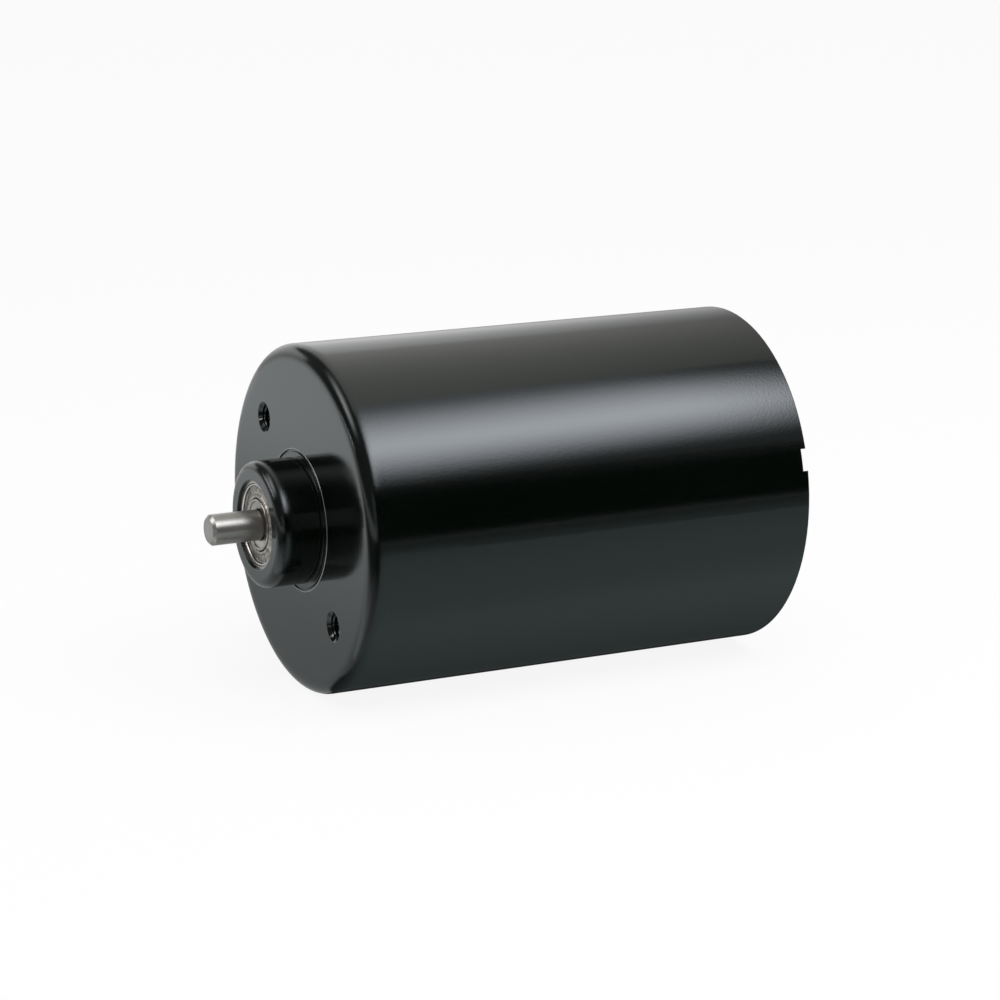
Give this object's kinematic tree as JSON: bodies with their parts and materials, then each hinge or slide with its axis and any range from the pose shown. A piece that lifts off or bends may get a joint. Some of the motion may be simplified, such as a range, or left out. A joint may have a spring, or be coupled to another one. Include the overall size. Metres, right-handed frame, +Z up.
{
  "type": "brushless dc motor",
  "caption": "Cylindrical inner-rotor motor with a black steel can, raised bearing boss, tapped face holes, a round output shaft and a driver board with a rear connector.",
  "frame": {"origin": "on the shaft's axis, in the plane of the front mounting face", "axes": "-Y along the output shaft, out of the front face; +Z up; the can lies along +Y"},
  "size_m": [0.036, 0.0598, 0.036],
  "materials": {
    "black_coat": "satin",
    "black_nylon": "matt",
    "spring_steel": "satin",
    "bearing_steel": "ground",
    "shield_steel": "satin",
    "polished_steel": "polished",
    "brass": "turned",
    "electrical_steel": "stacked sheets",
    "white_nylon": "matt",
    "enamelled_copper": "gloss",
    "board_laminate": "solder mask",
    "chip_epoxy": "matt",
    "capacitor_sleeve": "satin",
    "magnet_plating": "nickel plated",
    "tinned_pins": "tinned"
  },
  "bodies": {
    "housing": {"can": "black_coat", "end_bell": "black_nylon", "wave_washer": "spring_steel", "front_bearing_outer_ring": "bearing_steel", "front_bearing_shields": "shield_steel", "rear_bearing_outer_ring": "bearing_steel", "rear_bearing_shields": "shield_steel", "stator_core": "electrical_steel", "front_slot_insulator": "white_nylon", "rear_slot_insulator": "white_nylon", "phase_u_coils": "enamelled_copper", "phase_v_coils": "enamelled_copper", "phase_w_coils": "enamelled_copper", "winding_terminals": "tinned_pins", "driver_board": "board_laminate", "board_screws": "polished_steel", "hall_sensors": "chip_epoxy", "driver_chip": "chip_epoxy", "power_transistors": "chip_epoxy", "filter_capacitors": "capacitor_sleeve", "connector_housing": "white_nylon", "connector_pins": "tinned_pins"},
    "rotor": {"shaft": "polished_steel", "rotor_core": "electrical_steel", "rotor_magnets": "magnet_plating", "rotor_sleeve": "spring_steel", "front_balance_ring": "brass", "rear_balance_ring": "brass", "front_spacer": "brass", "rear_spacer": "brass", "front_bearing_inner_ring": "bearing_steel", "rear_bearing_inner_ring": "bearing_steel"},
    "front_ball_set": {"front_bearing_balls": "polished_steel", "front_bearing_cage": "brass"},
    "rear_ball_set": {"rear_bearing_balls": "polished_steel", "rear_bearing_cage": "brass"}
  },
  "joints": [
    {"name": "rotor_spin", "type": "hinge", "parent": "housing", "child": "rotor", "pos_m": [0, 0, 0], "axis": [0, -1, 0], "continuous": true},
    {"name": "front_ball_set_spin", "type": "hinge", "parent": "housing", "child": "front_ball_set", "pos_m": [0, 0, 0], "axis": [0, -1, 0], "continuous": true},
    {"name": "rear_ball_set_spin", "type": "hinge", "parent": "housing", "child": "rear_ball_set", "pos_m": [0, 0, 0], "axis": [0, -1, 0], "continuous": true}
  ],
  "couplings": [
    {"joint": "front_ball_set_spin", "follows": "rotor_spin", "ratio": 0.375},
    {"joint": "rear_ball_set_spin", "follows": "rotor_spin", "ratio": 0.375}
  ]
}
